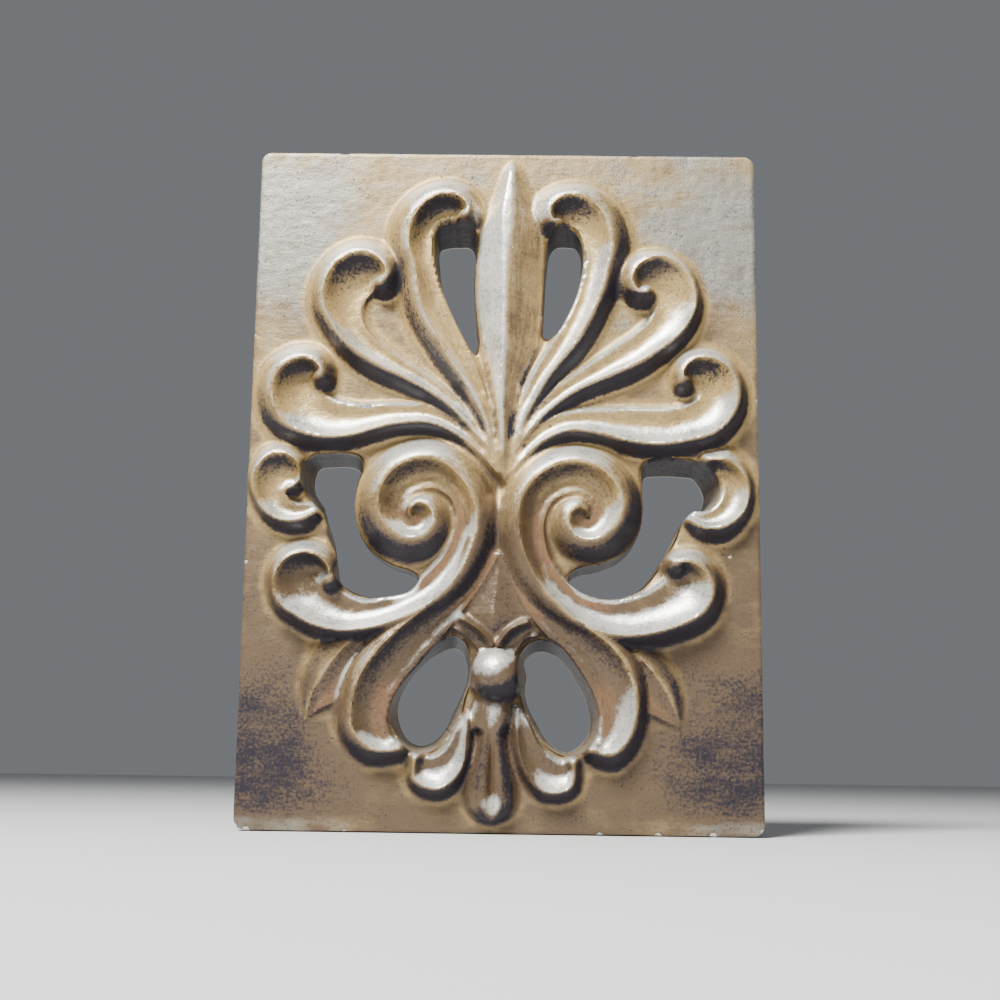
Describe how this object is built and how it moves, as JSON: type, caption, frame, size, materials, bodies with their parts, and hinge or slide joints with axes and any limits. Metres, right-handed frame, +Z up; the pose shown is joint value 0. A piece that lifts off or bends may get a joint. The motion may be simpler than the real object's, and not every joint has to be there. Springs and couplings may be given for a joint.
{
  "type": "wall plaque",
  "caption": "Rectangular cast plaster plaque with a raised, pierced palmette of curled leaves and C-scrolls, hung flat against a wall as an ornament",
  "frame": {"origin": "centre of the flat back, in the plane that rests against the wall", "axes": "+Z up along the panel's long side, +Y into the wall, -Y towards the viewer, +X to the viewer's right"},
  "size_m": [0.18, 0.032, 0.243],
  "materials": {
    "painted_plaster": "cast gypsum plaster under an aged bronze, gold and silver paint, rubbed bright on the crests and dark in the hollows"
  },
  "bodies": {
    "root": {"plaque": "painted_plaster"}
  },
  "joints": []
}
